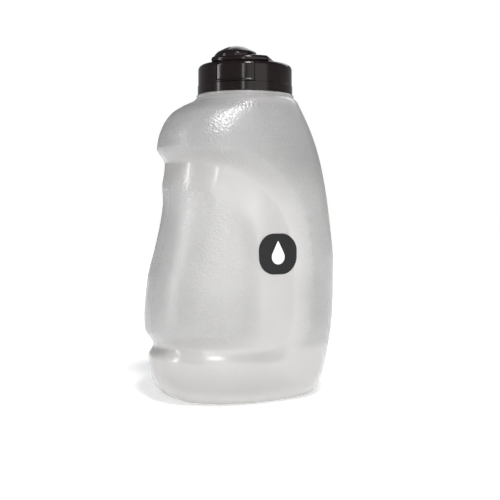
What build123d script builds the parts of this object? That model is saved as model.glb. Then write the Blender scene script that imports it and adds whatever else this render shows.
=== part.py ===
"""Two-litre blow-moulded water bottle with a pinch grip, a screw cap and a flip lid.

Millimetres, +Z up. The origin is the centre of the footprint on the base plane.
-X is the grip end, +X the plain end. The two broad faces look along -Y and +Y.
"""
import math
import os

from build123d import *

os.makedirs("parts", exist_ok=True)

# ---- Driving dimensions -------------------------------------------------------------------

NECK_X = 4.3                 # neck axis, a little in front of the footprint's centre
BODY_TOP = 213.0             # where the shoulder ends and the neck finish begins
SHOULDER_EDGE = 38.4         # radius of the shoulder there
WALL = 1.5                   # blown wall
SECTION_POINTS = 72          # points on each horizontal outline of the body

# Reach of the plain, unrecessed body from the neck axis: (height, reach).
REACH_GRIP_END = [
    (0, 50.5), (1.3, 56), (5, 63), (12.5, 69), (23, 72), (36, 73), (57, 76.2), (84, 75.6), (115, 71.5),
    (147, 68), (173, 66.4), (186, 65), (195, 62), (203, 56.5), (209, 47.5),
    (BODY_TOP, SHOULDER_EDGE),
]
REACH_PLAIN_END = [
    (0, 49.5), (1.3, 52.3), (6, 54.8), (17, 58), (36, 62.5), (63, 66.4), (95, 67), (126, 63.5), (158, 57.8),
    (184, 50.3), (200, 44.5), (BODY_TOP, SHOULDER_EDGE),
]
REACH_BROAD_FACE = [
    (0, 33.5), (1.3, 37.5), (5, 42), (12.5, 46.5), (25, 49), (52, 51), (95, 51.5), (137, 50.5), (168, 48.5),
    (187, 45.5), (202, 42), (BODY_TOP, SHOULDER_EDGE),
]
SQUARENESS = 2.3             # superellipse exponent of the body; 2 is an ellipse
ROUNDING_START = 178.0       # above this height the outline eases into the round neck

# The finger recess wraps round the grip end. Angles are measured from the grip end, and girth is
# the same distance along the wall. Its upper edge spreads into a longer slope on the broad faces.
RECESS = {
    "angle": 114.0, "girth": 105.0, "middle": 92.5, "up": 81.0, "down": 55.5, "sink": 5.0,
    "edge": 6.3, "spread": 4.5,
}
RECESS_DEPTH = 6.8
# The raised grip panel stands inside the recess.
PANEL = {
    "angle": 68.0, "girth": 62.0, "middle": 75.5, "up": 81.0, "down": 33.0, "sink": 0.0,
    "edge": 7.5, "spread": 0.0,
}
PANEL_SIDE_DEPTH = 4.2       # how far the panel lies below the plain body on the broad faces
PANEL_END_DEPTH = [(31, 1.0), (57, 0.6), (84, 2.1), (105, 4.8), (137, 7.4), (158, 5.2), (168, 5.2)]
UPPER_EXPONENT = 2.4         # round upper corners of recess and panel
LOWER_EXPONENT = 6.0         # squarer lower corners

PUSH_UP = 3.5                # hollow of the base inside its contact ring
CONTACT_RING = 8.0           # width of that ring
PUSH_UP_SLOPE = 6.0          # how far the hollow's side leans in

# Neck finish
COLLAR_GROOVE = 35.2
COLLAR_RADIUS = 35.6
COLLAR_TOP = 218.0
NECK_RADIUS = 28.0
NECK_BORE = 25.8
NECK_TOP = 234.4
THROAT = [(37.8, 207.0), (36.4, 211.0), (NECK_BORE, 216.3)]  # (radius, height) up to the bore
CAVITY_TOP = 209.0           # height at which the throat takes over from the blown cavity
LAG_START = 183.0            # above this height the cavity also keeps WALL below the shoulder
LAG_RISE = 12.0
THREAD_PITCH = 6.0
THREAD_HEIGHT = 1.6
THREAD_ROOT = 2.4
THREAD_CREST = 1.3
NECK_THREAD_BOTTOM = 223.2
NECK_THREAD_TURNS = 1.25

# Screw cap
CAP_RADIUS = 34.3
CAP_BOTTOM = 218.3
CAP_TOP = 240.0
CAP_EDGE = 3.7               # rounding between skirt and deck
CAP_BAND_TOP = 224.5         # the lower band of the skirt stands slightly proud
CAP_BAND_STEP = 0.35
CAP_BORE = 30.4
CAP_THREAD_CREST = 28.6
CAP_THREAD_LAG = 2.3         # the cap's thread runs this far under the neck's thread
CAP_THREAD_START = 60.0      # degrees round from the start of the neck's thread
CAP_THREAD_TURNS = 1.15
DECK_RING = 236.2            # underside of the deck over the neck's lip
DECK_UNDERSIDE = 238.0
INNER_WALL = 32.2            # outside of the threaded inner wall
OUTER_WALL = 33.1            # inside of the outer skirt
INNER_WALL_BOTTOM = 220.5
SKIRT_GAP_TOP = 234.0        # top of the gap between the two walls
STEP_RADIUS = 29.3           # step in the deck that the lid's apron hooks over
STEP_FLOOR = 238.1

# Flip lid. Its front points at this angle, measured from +X about the neck axis.
LID_FRONT = 228.0
LID_BOTTOM = 240.25
LID_TOP = 243.6
LID_RADIUS = 33.0
LID_LEFT = -19.0             # the plate reaches further to one side of the dome than the other
LID_RIGHT = 22.0
LID_REAR = 19.0
LID_CORNER = 3.0
LID_EDGE = 2.2
APRON_HALF_WIDTH = 13.5
APRON_BOTTOM = 225.2
APRON_INSIDE = 32.5
APRON_GAP = 0.3
SPOUT_X = 16.5               # spout and dome centre, forward of the neck axis
SPOUT_Y = -2.8               # and to one side of it
SPOUT_RADIUS = 8.2
SPOUT_BORE = 6.3
SPOUT_TOP = 246.4
DOME_RADIUS = 15.8
DOME_TOP = 251.8
DOME_CAVITY = 11.5
FINGER_FROM = 45.0           # the finger lip's sector, measured from the lid's front
FINGER_ARC = 90.0
FINGER_TOP = 246.6           # underside of the lip
FINGER_INSIDE = 13.2         # radius that the dome's wall is cut back to beneath it
SEAL_SEAT = 247.9            # face of the boss that holds the spout seal
SEAL_BOSS = 7.2
SEAL_STUD = 2.6
SEAL_STUD_LENGTH = 1.8
VENT_X = -4.0
VENT_RADIUS = 1.6
VENT_SEAL_RADIUS = 3.0
VENT_SEAL_DEPTH = 1.2
HINGE_X = -24.0
HINGE_Z = 243.4
HINGE_TO_PLATE = 5.5         # pin to the plate's rear edge
PIN_RADIUS = 1.2
PIN_CLEARANCE = 0.05
KNUCKLE_RADIUS = 2.6
KNUCKLE_HALF_WIDTH = 6.0
EAR_INNER = 6.3
EAR_OUTER = 9.8

# Badge on the -Y broad face
BADGE_X = 0.6
BADGE_Z = 104.0
BADGE_WIDTH = 30.5
BADGE_HEIGHT = 28.3
BADGE_CORNER = 12.0
BADGE_THICKNESS = 0.35
BADGE_GLUE = 0.03            # glue line between the wall and the badge
BADGE_FROM = 58.0            # stretch of the body wall that the badge's curvature is taken from
BADGE_TO = 148.0
BADGE_REACH = 30.0           # how far its outline is projected onto the curved wall
PRINT_THICKNESS = 0.15
DROPLET_RADIUS = 5.2
DROPLET_TIP = 8.4


# ---- Shape of the body --------------------------------------------------------------------

def ease(t):
    """Smooth step from 0 to 1."""
    t = min(max(t, 0.0), 1.0)
    return t * t * (3 - 2 * t)


def slopes_of(points):
    """Slopes of a monotone cubic through the points, so that it never overshoots them."""
    rise = [(b[1] - a[1]) / (b[0] - a[0]) for a, b in zip(points, points[1:])]
    slopes = [rise[0]]
    for before, after in zip(rise, rise[1:]):
        slopes.append(2 * before * after / (before + after) if before * after > 0 else 0.0)
    return slopes + [rise[-1]]


def along(points, height):
    """Value of the smooth curve through (height, value) points."""
    slopes = slopes_of(points)
    index = max(i for i in range(len(points) - 1) if i == 0 or points[i][0] <= height)
    (z0, v0), (z1, v1) = points[index], points[index + 1]
    span = z1 - z0
    t = min(max((height - z0) / span, 0.0), 1.0)
    start = (1 + 2 * t) * (1 - t) ** 2 * v0 + t * (1 - t) ** 2 * span * slopes[index]
    end = t * t * (3 - 2 * t) * v1 - t * t * (1 - t) * span * slopes[index + 1]
    return start + end


def inside_region(region, angle_from_grip, height):
    """1 well inside a rounded region of the body's side, 0 outside, eased over its edge."""
    above = height > region["middle"]
    half = region["up"] if above else region["down"] + region["sink"] * ease(angle_from_grip / 90)
    exponent = UPPER_EXPONENT if above else LOWER_EXPONENT
    across = (angle_from_grip / region["angle"]) ** exponent
    upward = (abs(height - region["middle"]) / half) ** exponent
    share = upward / max(across + upward, 1e-9)
    reach = half * share + region["girth"] * (1 - share)
    spread = region["spread"] * ease((angle_from_grip - 25) / 50) if above else 0.0
    distance = (across + upward) ** (1 / exponent)
    return ease(0.5 + (1 - distance) * reach / (2 * (region["edge"] + spread * share)))


def recess_depth(angle_from_grip, height):
    """How far the surface lies below the plain body."""
    side = ease((angle_from_grip - 20) / 40)
    panel_end = along(PANEL_END_DEPTH, min(max(height, 31), 168))
    panel_depth = panel_end * (1 - side) + PANEL_SIDE_DEPTH * side
    on_panel = inside_region(PANEL, angle_from_grip, height)
    floor = RECESS_DEPTH * (1 - on_panel) + panel_depth * on_panel
    return floor * inside_region(RECESS, angle_from_grip, height)


def body_radius(angle, height):
    """Distance of the outside face from the neck axis, at an angle in degrees from +X."""
    cosine = math.cos(math.radians(angle))
    sine = math.sin(math.radians(angle))
    end_reach = along(REACH_PLAIN_END if cosine > 0 else REACH_GRIP_END, height)
    side_reach = along(REACH_BROAD_FACE, height)
    roundness = ease((height - ROUNDING_START) / (BODY_TOP - ROUNDING_START))
    exponent = SQUARENESS + (2 - SQUARENESS) * roundness
    plain = (abs(cosine / end_reach) ** exponent + abs(sine / side_reach) ** exponent) ** (-1 / exponent)
    angle_from_grip = 180 - abs((angle + 180) % 360 - 180)
    return plain - recess_depth(angle_from_grip, height)


SECTION_HEIGHTS = [
    1.3, 3.2, 6, 9, 13, 18, 23, 27, 30.5, 33.5, 36.5, 39.5, 42.5, 46, 51, 58, 68, 80, 93, 106, 118, 130,
    140, 148, 154, 159, 163.5, 168, 172.5, 177, 182, 187, 192, 196.5, 201, 205,
]


def body_outline(height, inset, source_height):
    """Closed horizontal outline: the body's shape at source_height, inset, drawn at height."""
    with BuildSketch(Plane((NECK_X, 0, height))) as outline:
        with BuildLine():
            points = []
            for step in range(SECTION_POINTS):
                angle = 360 * step / SECTION_POINTS
                reach = body_radius(angle, source_height) - inset
                points.append((reach * math.cos(math.radians(angle)), reach * math.sin(math.radians(angle))))
            Spline(*points, periodic=True)
        make_face()
    return outline.sketch


def body_sections(inset, bottom, top, lag=0.0):
    """Outlines of the body at one inset, from a bottom height to a top height.

    With a lag, each outline under the shoulder takes its shape from that much higher up, so that
    the sloping wall keeps its thickness.
    """
    heights = [bottom, *[height for height in SECTION_HEIGHTS if bottom < height < top], top]
    lags = [lag * ease((height - LAG_START) / LAG_RISE) for height in heights]
    return [body_outline(height, inset, height + shift) for height, shift in zip(heights, lags)]


def base_frustum(bottom, top, inset):
    """Two outlines of the base that bound its pushed-up hollow, wider below than above."""
    return [body_outline(bottom, inset, 0), body_outline(top, inset + PUSH_UP_SLOPE, 0)]


# ---- Helpers ------------------------------------------------------------------------------

NECK_AXIS = Axis((NECK_X, 0, 0), (0, 0, 1))


def upright_plane(center, direction):
    """Plane whose x axis points along a direction in degrees and whose y axis points up."""
    cosine = math.cos(math.radians(direction))
    sine = math.sin(math.radians(direction))
    return Plane(origin=center, x_dir=(cosine, sine, 0), z_dir=(sine, -cosine, 0))


def lid_plane(height):
    """Horizontal plane on the neck axis, with its x axis towards the front of the lid."""
    cosine = math.cos(math.radians(LID_FRONT))
    sine = math.sin(math.radians(LID_FRONT))
    return Plane(origin=(NECK_X, 0, height), x_dir=(cosine, sine, 0), z_dir=(0, 0, 1))


def lid_point(x, y, z):
    """World position of a point given in the lid's own directions."""
    return lid_plane(0).from_local_coords(Vector(x, y, z))


def polygon(plane, points):
    """Filled polygon of (radius, height) points on an upright plane."""
    with BuildSketch(plane) as outline:
        with BuildLine():
            Polyline(*points, close=True)
        make_face()
    return outline.sketch


def thread(start_angle, start_height, turns, root, crest):
    """Section and path of a thread. It points outwards when the crest is above the root."""
    cosine = math.cos(math.radians(start_angle))
    sine = math.sin(math.radians(start_angle))
    base = Plane(origin=(NECK_X, 0, start_height), x_dir=(cosine, sine, 0), z_dir=(0, 0, 1))
    with BuildLine(base) as helix:
        Helix(pitch=THREAD_PITCH, height=turns * THREAD_PITCH, radius=root)
    section = polygon(upright_plane(helix.line @ 0, start_angle), [
        (0, -THREAD_ROOT / 2), (crest - root, -THREAD_CREST / 2),
        (crest - root, THREAD_CREST / 2), (0, THREAD_ROOT / 2),
    ])
    return section, helix.line


# ---- Bottle body --------------------------------------------------------------------------

NECK_PLANE = upright_plane((NECK_X, 0, 0), 0)

with BuildPart() as bottle_body:
    loft(body_sections(0, 0, BODY_TOP))
    neck_finish = polygon(NECK_PLANE, [
        (0, BODY_TOP - 2), (SHOULDER_EDGE - 0.8, BODY_TOP - 2), (SHOULDER_EDGE - 0.8, BODY_TOP + 0.5),
        (COLLAR_RADIUS + 0.8, BODY_TOP + 1.8), (COLLAR_GROOVE, BODY_TOP + 2.4),
        (COLLAR_GROOVE, COLLAR_TOP - 2.2), (COLLAR_RADIUS, COLLAR_TOP - 1.9),
        (COLLAR_RADIUS, COLLAR_TOP - 0.6), (COLLAR_RADIUS - 0.6, COLLAR_TOP),
        (NECK_RADIUS, COLLAR_TOP), (NECK_RADIUS, NECK_TOP - 0.8),
        (NECK_RADIUS - 0.8, NECK_TOP), (0, NECK_TOP),
    ])
    revolve(neck_finish, axis=NECK_AXIS)
    # Hollow: the blown cavity, then the cone up into the neck and the bore.
    loft(body_sections(WALL, WALL, CAVITY_TOP, lag=WALL), mode=Mode.SUBTRACT)
    throat = polygon(NECK_PLANE, [
        (0, THROAT[0][1]), *THROAT, (NECK_BORE, NECK_TOP + 1), (0, NECK_TOP + 1),
    ])
    revolve(throat, axis=NECK_AXIS, mode=Mode.SUBTRACT)
    # Pushed-up base: a frustum of wall inside, hollowed from below.
    loft(base_frustum(WALL - 0.3, PUSH_UP + WALL, CONTACT_RING - WALL))
    loft(base_frustum(0, PUSH_UP, CONTACT_RING), mode=Mode.SUBTRACT)
    ridge, helix_path = thread(
        0, NECK_THREAD_BOTTOM, NECK_THREAD_TURNS, NECK_RADIUS - 0.3, NECK_RADIUS + THREAD_HEIGHT
    )
    sweep(ridge, path=helix_path, is_frenet=True)

bottle_body.part.label = "bottle_body"
export_step(bottle_body.part, "parts/bottle_body.step")


# ---- Cap gasket ---------------------------------------------------------------------------

with BuildPart() as cap_gasket:
    with BuildSketch(Plane((NECK_X, 0, NECK_TOP + 0.1))):
        Circle(CAP_BORE - 0.3)
        Circle(NECK_BORE + 0.1, mode=Mode.SUBTRACT)
    extrude(amount=DECK_RING - NECK_TOP - 0.2)
    fillet(cap_gasket.edges().filter_by(GeomType.CIRCLE), 0.4)

cap_gasket.part.label = "cap_gasket"
export_step(cap_gasket.part, "parts/cap_gasket.step")


# ---- Screw cap ----------------------------------------------------------------------------

SPOUT_AXIS = Axis(lid_point(SPOUT_X, SPOUT_Y, 0), (0, 0, 1))
SPOUT_PLANE = upright_plane(lid_point(SPOUT_X, SPOUT_Y, 0), LID_FRONT)
BADGE_PLANE = Plane(origin=(NECK_X + BADGE_X, -35, BADGE_Z), x_dir=(1, 0, 0), z_dir=(0, -1, 0))
HINGE_PLANE = Plane(lid_point(HINGE_X, 0, HINGE_Z), x_dir=lid_plane(0).x_dir, z_dir=-lid_plane(0).y_dir)

with BuildPart() as screw_cap:
    shell = polygon(NECK_PLANE, [
        (OUTER_WALL, CAP_BOTTOM), (CAP_RADIUS + CAP_BAND_STEP, CAP_BOTTOM),
        (CAP_RADIUS + CAP_BAND_STEP, CAP_BAND_TOP), (CAP_RADIUS, CAP_BAND_TOP + 0.3),
        (CAP_RADIUS, CAP_TOP), (0, CAP_TOP), (0, DECK_UNDERSIDE), (NECK_BORE, DECK_UNDERSIDE),
        (NECK_BORE, DECK_RING), (CAP_BORE, DECK_RING), (CAP_BORE, INNER_WALL_BOTTOM),
        (INNER_WALL, INNER_WALL_BOTTOM), (INNER_WALL, SKIRT_GAP_TOP), (OUTER_WALL, SKIRT_GAP_TOP),
    ])
    revolve(shell, axis=NECK_AXIS)
    fillet(screw_cap.edges().filter_by(GeomType.CIRCLE).group_by(Axis.Z)[-1], CAP_EDGE)
    ridge, helix_path = thread(
        CAP_THREAD_START, NECK_THREAD_BOTTOM - CAP_THREAD_LAG + THREAD_PITCH * CAP_THREAD_START / 360,
        CAP_THREAD_TURNS, CAP_BORE + 0.3, CAP_THREAD_CREST,
    )
    sweep(ridge, path=helix_path, is_frenet=True)
    # Window in the skirt and step in the deck, where the lid's apron lies flush.
    for inner, bottom in ((INNER_WALL, CAP_BAND_TOP + 0.3), (STEP_RADIUS, STEP_FLOOR)):
        with BuildSketch(lid_plane(bottom)):
            with Locations((CAP_RADIUS, 0)):
                Rectangle(2 * CAP_RADIUS, 2 * (APRON_HALF_WIDTH + APRON_GAP))
            Circle(inner, mode=Mode.SUBTRACT)
        extrude(amount=CAP_TOP + 1 - bottom, mode=Mode.SUBTRACT)
    # Drinking spout with a rolled lip, and its bore through the deck.
    spout = polygon(SPOUT_PLANE, [
        (0, CAP_TOP - 0.5), (SPOUT_RADIUS + 0.4, CAP_TOP - 0.5), (SPOUT_RADIUS, SPOUT_TOP - 2.2),
        (SPOUT_RADIUS + 0.6, SPOUT_TOP - 1.6), (SPOUT_RADIUS + 0.6, SPOUT_TOP - 0.6),
        (SPOUT_RADIUS, SPOUT_TOP), (0, SPOUT_TOP),
    ])
    revolve(spout, axis=SPOUT_AXIS)
    with BuildSketch(lid_plane(DECK_UNDERSIDE - 1)):
        with Locations((SPOUT_X, SPOUT_Y)):
            Circle(SPOUT_BORE)
        with Locations((VENT_X, 0)):
            Circle(VENT_RADIUS)
    extrude(amount=SPOUT_TOP - DECK_UNDERSIDE + 2, mode=Mode.SUBTRACT)
    # Hinge ears, bored for the pin.
    for side in (-1, 1):
        with BuildSketch(HINGE_PLANE.offset(side * (EAR_INNER + EAR_OUTER) / 2)):
            Circle(KNUCKLE_RADIUS)
            with Locations((0, -2)):
                Rectangle(2 * KNUCKLE_RADIUS, 4)
            Circle(PIN_RADIUS, mode=Mode.SUBTRACT)
        extrude(amount=(EAR_OUTER - EAR_INNER) / 2, both=True)

screw_cap.part.label = "screw_cap"
export_step(screw_cap.part, "parts/screw_cap.step")


# ---- Hinge pin ----------------------------------------------------------------------------

with BuildPart() as hinge_pin:
    with BuildSketch(HINGE_PLANE):
        Circle(PIN_RADIUS)
    extrude(amount=EAR_OUTER, both=True)
    chamfer(hinge_pin.edges().filter_by(GeomType.CIRCLE), 0.25)

hinge_pin.part.label = "hinge_pin"
export_step(hinge_pin.part, "parts/hinge_pin.step")


# ---- Flip lid -----------------------------------------------------------------------------

with BuildPart() as flip_lid:
    # Strap plate
    with BuildSketch(lid_plane(LID_BOTTOM)):
        Circle(LID_RADIUS)
        with Locations(((LID_RADIUS - LID_REAR) / 2, (LID_LEFT + LID_RIGHT) / 2)):
            Rectangle(LID_RADIUS + LID_REAR, LID_RIGHT - LID_LEFT, mode=Mode.INTERSECT)
    extrude(amount=LID_TOP - LID_BOTTOM)
    fillet(flip_lid.edges().filter_by(GeomType.LINE).filter_by(Axis.Z), LID_CORNER)
    fillet(flip_lid.edges().group_by(Axis.Z)[-1], LID_EDGE)
    # Apron: a slice of the skirt's own profile, with a lifting lip at its foot.
    with BuildPart(mode=Mode.PRIVATE) as apron:
        with BuildSketch(upright_plane((NECK_X, 0, 0), LID_FRONT)):
            with BuildLine():
                Polyline(
                    (CAP_RADIUS - CAP_EDGE, LID_BOTTOM + 0.5), (STEP_RADIUS + APRON_GAP, LID_BOTTOM + 0.5),
                    (STEP_RADIUS + APRON_GAP, STEP_FLOOR + APRON_GAP), (APRON_INSIDE, STEP_FLOOR + APRON_GAP),
                    (APRON_INSIDE, APRON_BOTTOM), (CAP_RADIUS + 0.55, APRON_BOTTOM),
                    (CAP_RADIUS + 0.55, APRON_BOTTOM + 0.5), (CAP_RADIUS, APRON_BOTTOM + 1.6),
                    (CAP_RADIUS, CAP_TOP - CAP_EDGE),
                )
                RadiusArc((CAP_RADIUS, CAP_TOP - CAP_EDGE), (CAP_RADIUS - CAP_EDGE, CAP_TOP), -CAP_EDGE)
                Line((CAP_RADIUS - CAP_EDGE, CAP_TOP), (CAP_RADIUS - CAP_EDGE, LID_BOTTOM + 0.5))
            make_face()
        revolve(axis=NECK_AXIS)
        with BuildSketch(lid_plane(APRON_BOTTOM - 1)):
            with Locations((CAP_RADIUS, 0)):
                Rectangle(2 * CAP_RADIUS, 2 * APRON_HALF_WIDTH)
        extrude(amount=20, mode=Mode.INTERSECT)
        fillet(apron.edges().filter_by(Axis.Z).filter_by(lambda edge: edge.length > 5), 0.45)
    add(apron.part)
    # Dome over the spout
    with BuildSketch(SPOUT_PLANE):
        with BuildLine():
            Line((0, LID_BOTTOM), (DOME_RADIUS, LID_BOTTOM))
            Line((DOME_RADIUS, LID_BOTTOM), (DOME_RADIUS, 243.9))
            Spline(
                (DOME_RADIUS, 243.9), (15.2, 245.7), (13.6, 247.3), (0, DOME_TOP),
                tangents=((0, 1), (-0.62, 0.42), (-0.9, 0.5), (-1, 0)),
            )
            Line((0, DOME_TOP), (0, LID_BOTTOM))
        make_face()
    revolve(axis=SPOUT_AXIS)
    # Finger lip on one side of the dome: the wall is cut back beneath its edge.
    undercut = polygon(upright_plane(SPOUT_PLANE.origin, LID_FRONT + FINGER_FROM), [
        (FINGER_INSIDE, LID_TOP), (DOME_RADIUS + 2.2, LID_TOP), (DOME_RADIUS + 2.2, FINGER_TOP),
        (FINGER_INSIDE + 0.9, FINGER_TOP),
    ])
    revolve(undercut, axis=SPOUT_AXIS, revolution_arc=FINGER_ARC, mode=Mode.SUBTRACT)
    # Hollow under the dome, leaving a boss for the seal.
    hollow = polygon(SPOUT_PLANE, [
        (SEAL_BOSS, SEAL_SEAT), (SEAL_BOSS, 249.2), (9.4, 248.2), (DOME_CAVITY, 246.4),
        (DOME_CAVITY, LID_BOTTOM - 1), (0, LID_BOTTOM - 1), (0, SEAL_SEAT),
    ])
    revolve(hollow, axis=SPOUT_AXIS, mode=Mode.SUBTRACT)
    with BuildSketch(lid_plane(SEAL_SEAT)):
        with Locations((SPOUT_X, SPOUT_Y)):
            Circle(SEAL_STUD)
    extrude(amount=SEAL_STUD_LENGTH, mode=Mode.SUBTRACT)
    # Pocket for the vent seal.
    with BuildSketch(lid_plane(LID_BOTTOM)):
        with Locations((VENT_X, 0)):
            Circle(VENT_SEAL_RADIUS)
    extrude(amount=VENT_SEAL_DEPTH, mode=Mode.SUBTRACT)
    # Knuckle and its arm, bored to turn freely on the pin.
    with BuildSketch(HINGE_PLANE):
        Circle(KNUCKLE_RADIUS)
        with Locations(((KNUCKLE_RADIUS + HINGE_TO_PLATE) / 2, -1.9)):
            Rectangle(HINGE_TO_PLATE + 1, 1.4)
        Circle(PIN_RADIUS + PIN_CLEARANCE, mode=Mode.SUBTRACT)
    extrude(amount=KNUCKLE_HALF_WIDTH, both=True)

flip_lid.part.label = "flip_lid"
export_step(flip_lid.part, "parts/flip_lid.step")


# ---- Seals in the lid ---------------------------------------------------------------------

with BuildPart() as spout_seal:
    plug = polygon(SPOUT_PLANE, [
        (0, SEAL_SEAT + SEAL_STUD_LENGTH), (SEAL_STUD, SEAL_SEAT + SEAL_STUD_LENGTH), (SEAL_STUD, SEAL_SEAT),
        (SPOUT_RADIUS, SEAL_SEAT), (SPOUT_RADIUS, SPOUT_TOP + 0.1), (SPOUT_BORE - 0.35, SPOUT_TOP + 0.1),
        (SPOUT_BORE - 0.35, SPOUT_TOP - 1.6), (SPOUT_BORE - 1.1, SPOUT_TOP - 2.4), (0, SPOUT_TOP - 2.4),
    ])
    revolve(plug, axis=SPOUT_AXIS)

spout_seal.part.label = "spout_seal"
export_step(spout_seal.part, "parts/spout_seal.step")

with BuildPart() as vent_seal:
    with BuildSketch(lid_plane(LID_BOTTOM)):
        with Locations((VENT_X, 0)):
            Circle(VENT_SEAL_RADIUS)
    extrude(amount=VENT_SEAL_DEPTH)
    with BuildSketch(lid_plane(LID_BOTTOM)):
        with Locations((VENT_X, 0)):
            Circle(VENT_RADIUS - 0.4)
    extrude(amount=-1.1)

vent_seal.part.label = "vent_seal"
export_step(vent_seal.part, "parts/vent_seal.step")


# ---- Badge --------------------------------------------------------------------------------

with BuildPart() as label_badge:
    with BuildSketch(BADGE_PLANE):
        RectangleRounded(BADGE_WIDTH, BADGE_HEIGHT, BADGE_CORNER)
    extrude(amount=BADGE_REACH)
    loft(body_sections(-BADGE_THICKNESS, BADGE_FROM, BADGE_TO), mode=Mode.INTERSECT)
    loft(body_sections(-BADGE_GLUE, BADGE_FROM, BADGE_TO), mode=Mode.SUBTRACT)

label_badge.part.label = "label_badge"
export_step(label_badge.part, "parts/label_badge.step")

with BuildPart() as badge_print:
    with BuildSketch(BADGE_PLANE):
        with Locations((0, -2)):
            Circle(DROPLET_RADIUS)
        with Locations((0, DROPLET_TIP)):
            Circle(0.4)
        make_hull()
    extrude(amount=BADGE_REACH)
    loft(body_sections(-BADGE_THICKNESS - PRINT_THICKNESS, BADGE_FROM, BADGE_TO), mode=Mode.INTERSECT)
    loft(body_sections(-BADGE_THICKNESS, BADGE_FROM, BADGE_TO), mode=Mode.SUBTRACT)

badge_print.part.label = "badge_print"
export_step(badge_print.part, "parts/badge_print.step")
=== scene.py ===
"""Looks of a pinch-grip bottle: frosted blown shell, gloss black cap and printed badge."""

import math

import bpy
import numpy as np
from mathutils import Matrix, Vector

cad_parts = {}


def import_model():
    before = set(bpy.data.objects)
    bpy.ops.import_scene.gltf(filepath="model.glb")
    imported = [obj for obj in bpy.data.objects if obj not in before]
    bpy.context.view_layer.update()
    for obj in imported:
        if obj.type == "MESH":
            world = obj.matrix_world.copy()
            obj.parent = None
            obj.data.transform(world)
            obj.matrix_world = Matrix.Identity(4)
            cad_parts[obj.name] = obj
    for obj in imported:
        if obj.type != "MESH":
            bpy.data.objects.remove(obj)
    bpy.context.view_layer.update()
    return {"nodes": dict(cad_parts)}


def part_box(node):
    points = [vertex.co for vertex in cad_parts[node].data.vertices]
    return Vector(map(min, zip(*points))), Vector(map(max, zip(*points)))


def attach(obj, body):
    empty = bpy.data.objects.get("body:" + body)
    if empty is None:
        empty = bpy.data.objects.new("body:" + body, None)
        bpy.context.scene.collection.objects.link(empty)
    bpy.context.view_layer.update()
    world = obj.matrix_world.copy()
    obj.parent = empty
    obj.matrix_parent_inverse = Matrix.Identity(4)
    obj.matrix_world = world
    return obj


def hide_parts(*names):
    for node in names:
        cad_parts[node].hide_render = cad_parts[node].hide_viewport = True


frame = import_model()
MM = 0.001

# ---- Shape of the blown body, in millimetres from the neck axis --------------------------------

NECK_X = (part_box("cap_gasket")[0][0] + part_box("cap_gasket")[1][0]) / 2 / MM
BODY_TOP = 213.0             # the blown body meets the collar here
SHOULDER_EDGE = 38.4
WALL = 1.5
NECK_RADIUS = 28.0

REACH_GRIP_END = [
    (0, 50.5), (1.3, 56), (5, 63), (12.5, 69), (23, 72), (36, 73), (57, 76.2), (84, 75.6), (115, 71.5),
    (147, 68), (173, 66.4), (186, 65), (195, 62), (203, 56.5), (209, 47.5), (BODY_TOP, SHOULDER_EDGE),
]
REACH_PLAIN_END = [
    (0, 49.5), (1.3, 52.3), (6, 54.8), (17, 58), (36, 62.5), (63, 66.4), (95, 67), (126, 63.5), (158, 57.8),
    (184, 50.3), (200, 44.5), (BODY_TOP, SHOULDER_EDGE),
]
REACH_BROAD_FACE = [
    (0, 33.5), (1.3, 37.5), (5, 42), (12.5, 46.5), (25, 49), (52, 51), (95, 51.5), (137, 50.5), (168, 48.5),
    (187, 45.5), (202, 42), (BODY_TOP, SHOULDER_EDGE),
]
SQUARENESS = 2.3
ROUNDING_START = 178.0
RECESS = {
    "angle": 114.0, "girth": 105.0, "middle": 92.5, "up": 81.0, "down": 55.5, "sink": 5.0,
    "edge": 6.3, "spread": 4.5,
}
RECESS_DEPTH = 6.8
PANEL = {
    "angle": 68.0, "girth": 62.0, "middle": 75.5, "up": 81.0, "down": 33.0, "sink": 0.0,
    "edge": 7.5, "spread": 0.0,
}
PANEL_SIDE_DEPTH = 4.2
PANEL_END_DEPTH = [(31, 1.0), (57, 0.6), (84, 2.1), (105, 4.8), (137, 7.4), (158, 5.2), (168, 5.2)]
UPPER_EXPONENT = 2.4
LOWER_EXPONENT = 6.0
PUSH_UP = 3.5
CONTACT_RING = 8.0
PUSH_UP_SLOPE = 6.0
# Above this height the inside follows the outline from higher up, so a sloping wall keeps its thickness.
LAG_START = 183.0
LAG_RISE = 12.0
TEXTURE_BOTTOM = 34.0
TEXTURE_TOP = 212.0
SEAM_DEPTH = 0.14            # fine parting line down both ends, left by the blow mould
SEAM_OFFSET = 0.3            # degrees
SEAM_WIDTH = 0.15            # degrees

# Collar, neck, lip and throat as (radius, height), from the shoulder up outside and down inside.
NECK_PROFILE = [
    (37.9, 213.4), (37.0, 214.3), (36.2, 214.9), (35.5, 215.3), (35.2, 215.6), (35.3, 215.9), (35.6, 216.2),
    (35.6, 217.3), (35.4, 217.7), (34.9, 218.0), (29.0, 218.0), (28.3, 218.2), (28.0, 218.8), (28.0, 233.4),
    (27.8, 234.0), (27.2, 234.4), (26.6, 234.4), (26.0, 234.1), (25.8, 233.6), (25.8, 217.2), (26.4, 216.0),
    (36.0, 211.4), (36.9, 209.7),
]
CAVITY_TOP = 208.4
FLOOR_FLAT = 15.0            # how far in from the wall the inside of the base is flat

THREAD_PITCH = 6.0
THREAD_BOTTOM = 223.2
THREAD_TURNS = 1.25
THREAD_STEPS = 150
THREAD_RUN_OUT = 10          # steps over which each end runs out
THREAD_SECTION = [
    (-0.3, -1.3), (0.35, -1.05), (1.2, -0.72), (1.6, -0.45),
    (1.6, 0.45), (1.2, 0.72), (0.35, 1.05), (-0.3, 1.3),
]


def ease(t):
    """Smooth step from 0 to 1."""
    t = np.clip(t, 0.0, 1.0)
    return t * t * (3 - 2 * t)


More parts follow.
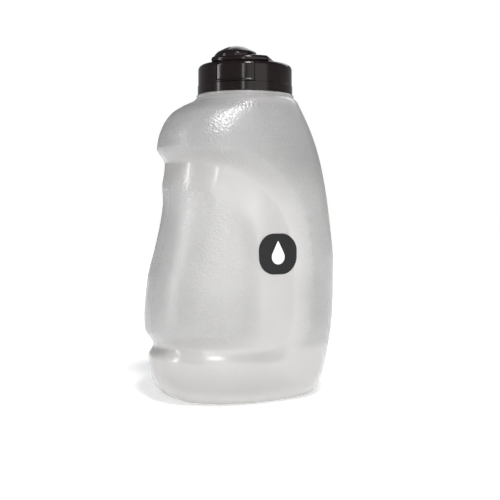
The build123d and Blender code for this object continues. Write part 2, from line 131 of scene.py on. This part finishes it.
def along(points, height):
    """Monotone cubic through (height, value) points, so that it never overshoots them."""
    z, v = np.array(points, dtype=float).T
    rise = np.diff(v) / np.diff(z)
    slopes = np.empty_like(v)
    slopes[0] = rise[0]
    slopes[-1] = rise[-1]
    product = rise[:-1] * rise[1:]
    total = rise[:-1] + rise[1:]
    safe = np.where(np.abs(total) > 1e-9, total, 1.0)
    slopes[1:-1] = np.where(product > 0, 2 * product / safe, 0.0)
    height = np.clip(height, z[0], z[-1])
    i = np.clip(np.searchsorted(z, height, side="right") - 1, 0, len(z) - 2)
    span = z[i + 1] - z[i]
    t = (height - z[i]) / span
    start = (1 + 2 * t) * (1 - t) ** 2 * v[i] + t * (1 - t) ** 2 * span * slopes[i]
    end = t * t * (3 - 2 * t) * v[i + 1] - t * t * (1 - t) * span * slopes[i + 1]
    return start + end


def inside_region(region, from_grip, height):
    """1 well inside a rounded region of the body's side, 0 outside, eased over its edge."""
    above = height > region["middle"]
    half = np.where(above, region["up"], region["down"] + region["sink"] * ease(from_grip / 90))
    exponent = np.where(above, UPPER_EXPONENT, LOWER_EXPONENT)
    across = (from_grip / region["angle"]) ** exponent
    upward = (np.abs(height - region["middle"]) / half) ** exponent
    share = upward / np.maximum(across + upward, 1e-9)
    reach = half * share + region["girth"] * (1 - share)
    spread = np.where(above, region["spread"] * ease((from_grip - 25) / 50), 0.0)
    distance = (across + upward) ** (1 / exponent)
    return ease(0.5 + (1 - distance) * reach / (2 * (region["edge"] + spread * share)))


def recess_depth(from_grip, height):
    """How far the surface lies below the plain body."""
    side = ease((from_grip - 20) / 40)
    panel_depth = along(PANEL_END_DEPTH, height) * (1 - side) + PANEL_SIDE_DEPTH * side
    on_panel = inside_region(PANEL, from_grip, height)
    floor = RECESS_DEPTH * (1 - on_panel) + panel_depth * on_panel
    return floor * inside_region(RECESS, from_grip, height)


def from_grip_end(angle):
    """Angle away from the grip end, in degrees, for an angle from +X."""
    return 180 - np.abs((angle + 180) % 360 - 180)


def body_radius(angle, height):
    """Distance of the outside face from the neck axis, at an angle in degrees from +X."""
    cosine = np.cos(np.radians(angle))
    sine = np.sin(np.radians(angle))
    end_reach = np.where(cosine > 0, along(REACH_PLAIN_END, height), along(REACH_GRIP_END, height))
    side_reach = along(REACH_BROAD_FACE, height)
    roundness = ease((height - ROUNDING_START) / (BODY_TOP - ROUNDING_START))
    exponent = SQUARENESS + (2 - SQUARENESS) * roundness
    total = np.abs(cosine / end_reach) ** exponent + np.abs(sine / side_reach) ** exponent
    return total ** (-1 / exponent) - recess_depth(from_grip_end(angle), height)


def pebble_mask(angle, height):
    """1 where the surface is pebbled, 0 in the smooth finger band and at the base."""
    grip = from_grip_end(angle)
    recess = inside_region(RECESS, grip, height)
    panel = inside_region(PANEL, grip, height)
    above_base = ease((height - TEXTURE_BOTTOM) / 8)
    band = recess * (1 - panel)
    return np.clip(above_base * (1 - band), 0, 1) * ease((TEXTURE_TOP - height) / 4)


# ---- Mesh helpers ------------------------------------------------------------------------------

def new_object(name, vertices, faces, material, body):
    """Smooth mesh object from millimetre vertices, riding on a CAD body."""
    mesh = bpy.data.meshes.new(name)
    mesh.from_pydata([tuple(v) for v in np.asarray(vertices) * MM], [], faces)
    mesh.validate()
    mesh.polygons.foreach_set("use_smooth", [True] * len(mesh.polygons))
    mesh.materials.append(material)
    obj = bpy.data.objects.new(name, mesh)
    bpy.context.scene.collection.objects.link(obj)
    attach(obj, body)
    return obj


def grid_faces(rows, columns):
    """Quads between successive closed rings of vertices."""
    faces = []
    for i in range(rows - 1):
        for j in range(columns):
            k = (j + 1) % columns
            faces.append((i * columns + j, i * columns + k, (i + 1) * columns + k, (i + 1) * columns + j))
    return faces


# ---- Materials ---------------------------------------------------------------------------------

MIX_A, MIX_B, MIX_RESULT = 6, 7, 2    # the colour sockets of a Mix node


def material(name, **sockets):
    """New Principled material with its sockets set. Returns material, nodes, links and shader."""
    mat = bpy.data.materials.new(name)
    mat.use_nodes = True
    shader = mat.node_tree.nodes["Principled BSDF"]
    for socket, value in sockets.items():
        shader.inputs[socket.replace("_", " ")].default_value = value
    return mat, mat.node_tree.nodes, mat.node_tree.links, shader


def node(nodes, kind, **values):
    """New node. Names that are sockets set the socket, and the rest set the node's own properties."""
    made = nodes.new(kind)
    for key, value in values.items():
        label = key.replace("_", " ")
        if label in made.inputs:
            made.inputs[label].default_value = value
        else:
            setattr(made, key, value)
    return made


def ramp(nodes, low, high, start=0.0, end=1.0):
    """New colour ramp between two colours."""
    made = nodes.new("ShaderNodeValToRGB")
    for stop, position, colour in zip(made.color_ramp.elements, (start, end), (low, high)):
        stop.position = position
        stop.color = (*colour, 1)
    return made


def frosted_plastic():
    """Milky translucent plastic. Its pebble texture shows where the mask says so."""
    mat, nodes, links, shader = material(
        "frosted_plastic", Transmission_Weight=0.72, IOR=1.46, Specular_IOR_Level=0.5, Coat_Weight=0.8,
        Coat_Roughness=0.13,
    )
    place = node(nodes, "ShaderNodeTexCoord")
    mask = node(nodes, "ShaderNodeAttribute", attribute_name="pebble")
    pebbles = node(nodes, "ShaderNodeTexVoronoi", Scale=640.0, feature="SMOOTH_F1", Smoothness=0.7)
    grit = node(nodes, "ShaderNodeTexNoise", Scale=950.0, Detail=2.0, Roughness=0.6)
    cloud = node(nodes, "ShaderNodeTexNoise", Scale=22.0, Detail=3.0, Roughness=0.5)
    for texture in (pebbles, grit, cloud):
        links.new(place.outputs["Object"], texture.inputs["Vector"])
    height = node(nodes, "ShaderNodeMath", operation="MULTIPLY_ADD")
    links.new(grit.outputs["Fac"], height.inputs[0])
    height.inputs[1].default_value = 0.6
    links.new(pebbles.outputs["Distance"], height.inputs[2])
    strength = node(nodes, "ShaderNodeMapRange", To_Min=0.03, To_Max=0.75)
    links.new(mask.outputs["Fac"], strength.inputs["Value"])
    bump = node(nodes, "ShaderNodeBump", Distance=0.0008)
    links.new(strength.outputs["Result"], bump.inputs["Strength"])
    links.new(height.outputs[0], bump.inputs["Height"])
    links.new(bump.outputs["Normal"], shader.inputs["Normal"])
    # The skin over the pebbles is smoother, so that highlights break into sparkle without vanishing.
    skin = node(nodes, "ShaderNodeBump", Distance=0.00034)
    links.new(strength.outputs["Result"], skin.inputs["Strength"])
    links.new(height.outputs[0], skin.inputs["Height"])
    links.new(skin.outputs["Normal"], shader.inputs["Coat Normal"])
    rough = node(nodes, "ShaderNodeMapRange", To_Min=0.34, To_Max=0.46)
    links.new(mask.outputs["Fac"], rough.inputs["Value"])
    links.new(rough.outputs["Result"], shader.inputs["Roughness"])
    milk = ramp(nodes, (0.86, 0.85, 0.835), (0.93, 0.92, 0.905), 0.30, 0.72)
    links.new(cloud.outputs["Fac"], milk.inputs["Fac"])
    frost = ramp(nodes, (0.70, 0.70, 0.70), (0.80, 0.80, 0.80), 0.30, 0.72)
    links.new(cloud.outputs["Fac"], frost.inputs["Fac"])
    blend = node(nodes, "ShaderNodeMix", data_type="RGBA")
    links.new(mask.outputs["Fac"], blend.inputs["Factor"])
    links.new(milk.outputs["Color"], blend.inputs[MIX_A])
    links.new(frost.outputs["Color"], blend.inputs[MIX_B])
    # Painted shade: the colour darkens under the shoulder and towards the base, where less light reaches
    # the bottle.
    split = node(nodes, "ShaderNodeSeparateXYZ")
    links.new(place.outputs["Object"], split.inputs[0])
    level = node(nodes, "ShaderNodeMapRange", From_Max=BODY_TOP * MM)
    links.new(split.outputs["Z"], level.inputs["Value"])
    height_shade = ramp(nodes, (0.93, 0.93, 0.93), (0.90, 0.90, 0.91))
    for position, grey in ((0.14, 0.97), (0.34, 0.95), (0.48, 1.0), (0.64, 1.0), (0.80, 0.84)):
        height_shade.color_ramp.elements.new(position).color = (grey, grey, grey, 1)
    links.new(level.outputs["Result"], height_shade.inputs["Fac"])
    shade = node(nodes, "ShaderNodeMix", data_type="RGBA", blend_type="MULTIPLY")
    shade.inputs["Factor"].default_value = 1.0
    links.new(blend.outputs[MIX_RESULT], shade.inputs[MIX_A])
    links.new(height_shade.outputs["Color"], shade.inputs[MIX_B])
    links.new(shade.outputs[MIX_RESULT], shader.inputs["Base Color"])
    return mat


def black_plastic():
    """Injection-moulded black plastic: glossy, with faint flow marks and a fine ripple in its gloss."""
    mat, nodes, links, shader = material("black_plastic", IOR=1.5, Specular_IOR_Level=0.24)
    place = node(nodes, "ShaderNodeTexCoord")
    flow = node(nodes, "ShaderNodeTexNoise", Scale=55.0, Detail=4.0, Roughness=0.55)
    links.new(place.outputs["Object"], flow.inputs["Vector"])
    tint = ramp(nodes, (0.0045, 0.0032, 0.0034), (0.013, 0.008, 0.0085))
    links.new(flow.outputs["Fac"], tint.inputs["Fac"])
    links.new(tint.outputs["Color"], shader.inputs["Base Color"])
    rough = node(nodes, "ShaderNodeMapRange", To_Min=0.10, To_Max=0.20)
    links.new(flow.outputs["Fac"], rough.inputs["Value"])
    links.new(rough.outputs["Result"], shader.inputs["Roughness"])
    ripple = node(nodes, "ShaderNodeTexNoise", Scale=240.0, Detail=1.0)
    links.new(place.outputs["Object"], ripple.inputs["Vector"])
    bump = node(nodes, "ShaderNodeBump", Strength=0.08, Distance=0.0001)
    links.new(ripple.outputs["Fac"], bump.inputs["Height"])
    links.new(bump.outputs["Normal"], shader.inputs["Normal"])
    return mat


def plain_surface(name, dark, light, scale, rough_low, rough_high, bump_depth, **sockets):
    """Material whose colour, roughness and bump vary a little with one noise."""
    mat, nodes, links, shader = material(name, **sockets)
    place = node(nodes, "ShaderNodeTexCoord")
    noise = node(nodes, "ShaderNodeTexNoise", Scale=scale, Detail=4.0)
    links.new(place.outputs["Object"], noise.inputs["Vector"])
    tint = ramp(nodes, dark, light)
    links.new(noise.outputs["Fac"], tint.inputs["Fac"])
    links.new(tint.outputs["Color"], shader.inputs["Base Color"])
    rough = node(nodes, "ShaderNodeMapRange", To_Min=rough_low, To_Max=rough_high)
    links.new(noise.outputs["Fac"], rough.inputs["Value"])
    links.new(rough.outputs["Result"], shader.inputs["Roughness"])
    bump = node(nodes, "ShaderNodeBump", Strength=0.3, Distance=bump_depth)
    links.new(noise.outputs["Fac"], bump.inputs["Height"])
    links.new(bump.outputs["Normal"], shader.inputs["Normal"])
    return mat


FROSTED = frosted_plastic()
BLACK = black_plastic()
SILICONE = plain_surface("silicone", (0.62, 0.62, 0.60), (0.72, 0.72, 0.70), 300, 0.42, 0.58, 0.00005)
STEEL = plain_surface(
    "pin_steel", (0.50, 0.50, 0.51), (0.66, 0.66, 0.67), 700, 0.22, 0.36, 0.00002, Metallic=1.0,
)
BADGE = plain_surface(
    "badge_film", (0.008, 0.008, 0.009), (0.016, 0.015, 0.016), 260, 0.40, 0.54, 0.00004,
    Specular_IOR_Level=0.25,
)
INK = plain_surface("print_ink", (0.78, 0.78, 0.77), (0.90, 0.90, 0.89), 900, 0.45, 0.60, 0.00003)


# ---- Blown body --------------------------------------------------------------------------------

def ring_angles():
    """Column angles: even, with extra columns beside both ends for the parting line."""
    even = np.arange(0, 360, 1.5)
    fine = np.array([-0.6, -0.3, 0.3, 0.6])
    return np.unique(np.round(np.concatenate([even, fine % 360, 180 + fine]), 4))


def seam(angle):
    """Depth of the two fine grooves that outline the parting line at each end."""
    from_end = np.minimum(from_grip_end(angle), 180 - from_grip_end(angle))
    return SEAM_DEPTH * np.exp(-((from_end - SEAM_OFFSET) / SEAM_WIDTH) ** 2)


def shell_rings():
    """Rings of (radius, height, pebble mask), from the middle of the base, up outside and down inside."""
    angles = ring_angles()
    flat = np.zeros_like(angles)
    rings = []
    base = body_radius(angles, 0.0)
    for share in (0.02, 0.25, 0.5, 0.8):
        rings.append((share * (base - CONTACT_RING - PUSH_UP_SLOPE), flat + PUSH_UP, flat))
    for share in (0.0, 0.08, 0.25, 0.5, 0.75, 0.92, 1.0):
        inset = CONTACT_RING + PUSH_UP_SLOPE * (1 - share)
        rings.append((base - inset, flat + PUSH_UP * (1 - ease(share)), flat))
    rings.append((base - CONTACT_RING / 2, flat, flat))
    heights = np.concatenate([[0.0, 0.3, 0.8], np.arange(1.3, 30, 1.15), np.arange(30, BODY_TOP, 0.95)])
    for height in heights:
        outside = body_radius(angles, height) - seam(angles)
        rings.append((outside, flat + height, pebble_mask(angles, height)))
    for radius, height in NECK_PROFILE:
        rings.append((flat + radius, flat + height, flat))
    for height in np.concatenate([np.arange(CAVITY_TOP, 8, -2.2), [7.0, 5.6, 4.4, 3.2, 2.3]]):
        lag = WALL * ease((height - LAG_START) / LAG_RISE)
        rings.append((body_radius(angles, height + lag) - WALL, flat + height, flat))
    floor = body_radius(angles, 1.3) - WALL
    for inset, height in ((1.5, 1.7), (4.0, 1.5), (CONTACT_RING - 1, 1.6), (11.0, 3.4)):
        rings.append((floor - inset, flat + height, flat))
    for share in (1.0, 0.5, 0.02):
        rings.append((share * (floor - FLOOR_FLAT), flat + PUSH_UP + WALL, flat))
    return angles, rings


def bottle_shell():
    """The blown body as one closed double-walled mesh."""
    angles, rings = shell_rings()
    cosine = np.cos(np.radians(angles))
    sine = np.sin(np.radians(angles))
    vertices = []
    mask = []
    for radius, height, pebble in rings:
        vertices.append(np.stack([NECK_X + radius * cosine, radius * sine, height], axis=1))
        mask.append(pebble)
    columns = len(angles)
    faces = grid_faces(len(rings), columns)
    faces.append(tuple(reversed(range(columns))))
    last = (len(rings) - 1) * columns
    faces.append(tuple(range(last, last + columns)))
    shell = new_object("bottle_shell", np.concatenate(vertices), faces, FROSTED, "bottle")
    attribute = shell.data.attributes.new("pebble", "FLOAT", "POINT")
    attribute.data.foreach_set("value", np.concatenate(mask).astype(np.float32))
    return shell


def neck_thread():
    """Outside thread of the neck: a rounded ridge whose ends run out into the wall."""
    vertices = []
    for step in range(THREAD_STEPS + 1):
        turns = THREAD_TURNS * step / THREAD_STEPS
        angle = 2 * math.pi * turns
        run_out = float(ease(min(step, THREAD_STEPS - step) / THREAD_RUN_OUT))
        for out, up in THREAD_SECTION:
            radius = NECK_RADIUS + (out if out < 0 else out * run_out)
            height = THREAD_BOTTOM + THREAD_PITCH * turns + up
            vertices.append((NECK_X + radius * math.cos(angle), radius * math.sin(angle), height))
    count = len(THREAD_SECTION)
    faces = grid_faces(THREAD_STEPS + 1, count)
    faces.append(tuple(reversed(range(count))))
    faces.append(tuple(range(THREAD_STEPS * count, (THREAD_STEPS + 1) * count)))
    return new_object("neck_thread", vertices, faces, FROSTED, "bottle")


shell = bottle_shell()
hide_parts("bottle_body")
neck_thread()

CAD_FINISH = {
    "screw_cap": BLACK, "flip_lid": BLACK, "hinge_pin": STEEL, "label_badge": BADGE, "badge_print": INK,
    "cap_gasket": SILICONE, "spout_seal": SILICONE, "vent_seal": SILICONE,
}
for name, finish in CAD_FINISH.items():
    for slot in frame["nodes"][name].material_slots:
        slot.material = finish


# ---- Floor, light and camera -------------------------------------------------------------------

def floor():
    """Round white floor. It glows more with distance, to meet the white surroundings."""
    mat, nodes, links, shader = material(
        "studio_floor", Base_Color=(0.9, 0.9, 0.9, 1), Roughness=0.9, Specular_IOR_Level=0.1,
        Emission_Color=(1, 1, 1, 1),
    )
    place = node(nodes, "ShaderNodeTexCoord")
    away = node(nodes, "ShaderNodeVectorMath", operation="LENGTH")
    links.new(place.outputs["Object"], away.inputs[0])
    glow = node(nodes, "ShaderNodeMapRange", From_Min=0.15, From_Max=1.1, To_Min=0.42, To_Max=0.88)
    links.new(away.outputs["Value"], glow.inputs["Value"])
    links.new(glow.outputs["Result"], shader.inputs["Emission Strength"])
    steps = 64
    vertices = [(0, 0, 0)]
    for radius in (0.5, 2.0, 8.0):
        for step in range(steps):
            turn = 2 * math.pi * step / steps
            vertices.append((radius * math.cos(turn), radius * math.sin(turn), 0))
    faces = [(0, 1 + step, 1 + (step + 1) % steps) for step in range(steps)]
    faces += [tuple(1 + corner for corner in face) for face in grid_faces(3, steps)]
    mesh = bpy.data.meshes.new("studio_floor")
    mesh.from_pydata(vertices, [], faces)
    mesh.materials.append(mat)
    obj = bpy.data.objects.new("studio_floor", mesh)
    bpy.context.scene.collection.objects.link(obj)


CAMERA_TURN = 30.0           # degrees round from straight in front, towards the grip end
CAMERA_DISTANCE = 0.6825
CAMERA_HEIGHT = 0.1369
CAMERA_LENS = 66.9
CAMERA_SHIFT = (0.010, -0.087)
LIGHT_TARGET_HEIGHT = 0.13


def view_direction(turn):
    """Horizontal direction that looks into the picture, turned from +Y towards +X."""
    return Vector((math.sin(math.radians(turn)), math.cos(math.radians(turn)), 0))


def camera():
    """Level camera in front of the neck axis."""
    lens = bpy.data.cameras.new("camera")
    lens.lens = CAMERA_LENS
    lens.sensor_width = 36
    lens.shift_x, lens.shift_y = CAMERA_SHIFT
    obj = bpy.data.objects.new("camera", lens)
    bpy.context.scene.collection.objects.link(obj)
    axis = Vector((NECK_X * MM, 0, CAMERA_HEIGHT))
    obj.location = axis - CAMERA_DISTANCE * view_direction(CAMERA_TURN)
    obj.rotation_euler = (math.radians(90), 0, math.radians(-CAMERA_TURN))
    bpy.context.scene.camera = obj


def area_light(name, turn, distance, height, size, power, tint=(1, 1, 1)):
    """Soft rectangular light aimed at the middle of the bottle, placed round from the camera."""
    light = bpy.data.lights.new(name, "AREA")
    light.shape = "RECTANGLE"
    light.size, light.size_y = size
    light.energy = power
    light.color = tint
    obj = bpy.data.objects.new(name, light)
    bpy.context.scene.collection.objects.link(obj)
    target = Vector((NECK_X * MM, 0, LIGHT_TARGET_HEIGHT))
    obj.location = Vector((NECK_X * MM, 0, height)) - distance * view_direction(CAMERA_TURN + turn)
    obj.rotation_euler = (target - obj.location).to_track_quat("-Z", "Y").to_euler()


def world():
    """White where the camera sees it. Its light on the bottle is dimmer, and dimmest from above."""
    made = bpy.data.worlds.new("studio")
    made.use_nodes = True
    nodes, links = made.node_tree.nodes, made.node_tree.links
    place = node(nodes, "ShaderNodeTexCoord")
    split = node(nodes, "ShaderNodeSeparateXYZ")
    links.new(place.outputs["Generated"], split.inputs[0])
    dome = ramp(nodes, (0.40, 0.393, 0.39), (0.10, 0.105, 0.115), 0.02, 0.60)
    links.new(split.outputs["Z"], dome.inputs["Fac"])
    seen = node(nodes, "ShaderNodeLightPath")
    blend = node(nodes, "ShaderNodeMix", data_type="RGBA")
    links.new(seen.outputs["Is Camera Ray"], blend.inputs["Factor"])
    links.new(dome.outputs["Color"], blend.inputs[MIX_A])
    blend.inputs[MIX_B].default_value = (1, 1, 1, 1)
    links.new(blend.outputs[MIX_RESULT], nodes["Background"].inputs["Color"])
    bpy.context.scene.world = made


floor()
camera()
world()
area_light("front", -30, 1.3, 0.5, (1.2, 1.0), 5.5, (1.0, 0.985, 0.98))
area_light("key", -12, 0.75, 1.25, (0.20, 0.14), 13.0, (1.0, 0.99, 0.985))
area_light("strip", 66, 1.0, 0.38, (0.06, 0.7), 2.6)
area_light("glint", 4, 1.0, 0.4, (0.06, 0.5), 1.0)
area_light("rim", -158, 1.0, 0.95, (1.1, 0.6), 3.5, (0.96, 0.98, 1.0))
bpy.context.scene.view_settings.view_transform = "Standard"
